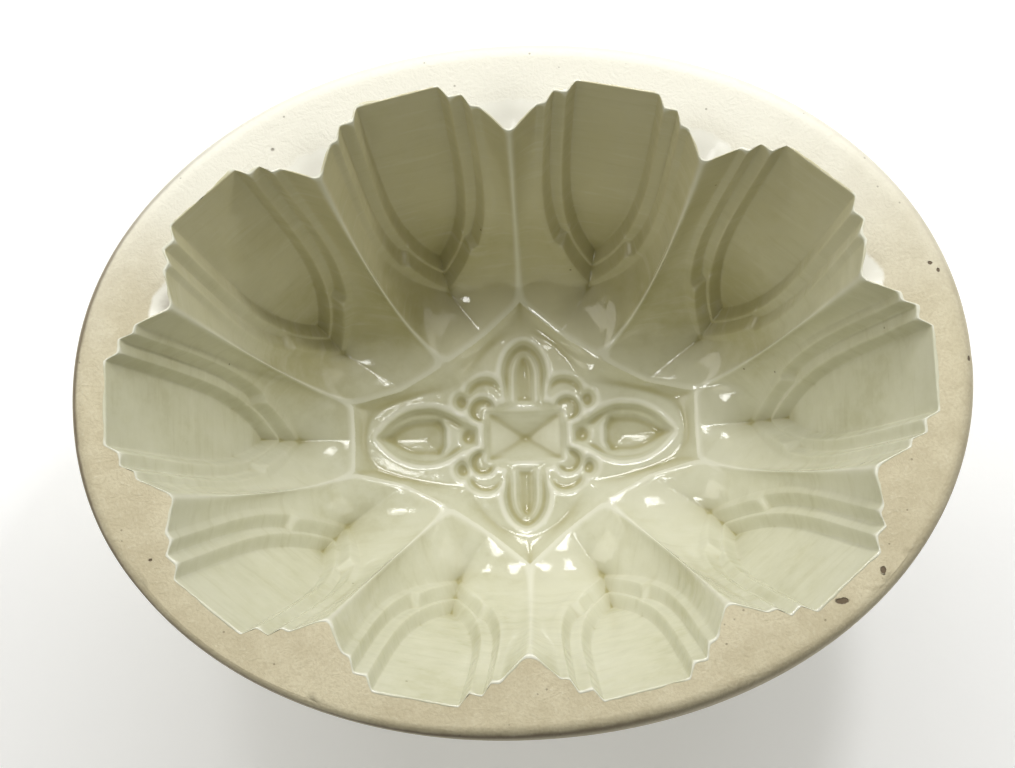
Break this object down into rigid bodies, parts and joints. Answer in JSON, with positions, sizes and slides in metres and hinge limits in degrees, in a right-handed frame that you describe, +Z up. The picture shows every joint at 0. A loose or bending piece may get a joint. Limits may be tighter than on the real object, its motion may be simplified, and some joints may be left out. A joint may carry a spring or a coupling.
{
  "type": "jelly mould",
  "caption": "Oval glazed stoneware jelly mould with pointed gothic flutes round a sunk leaf rosette, standing open side up on a low foot ring.",
  "frame": {"origin": "middle of the outer block's bounding box, at the foot ring's bearing face", "axes": "+Z up out of the hollow's mouth, +X along the oval's long axis, +Y along its short axis"},
  "size_m": [0.193, 0.151, 0.086],
  "materials": {
    "fired_clay": "matte, dry and finely speckled",
    "cavity_glaze": "glossy, pale greenish cream, greener where it pools",
    "outer_glaze": "glossy pale cream",
    "base_glaze": "glossy pale cream"
  },
  "bodies": {
    "root": {"mould_body": "fired_clay", "cavity_glaze": "cavity_glaze", "outer_glaze": "outer_glaze", "base_glaze": "base_glaze"}
  },
  "joints": []
}
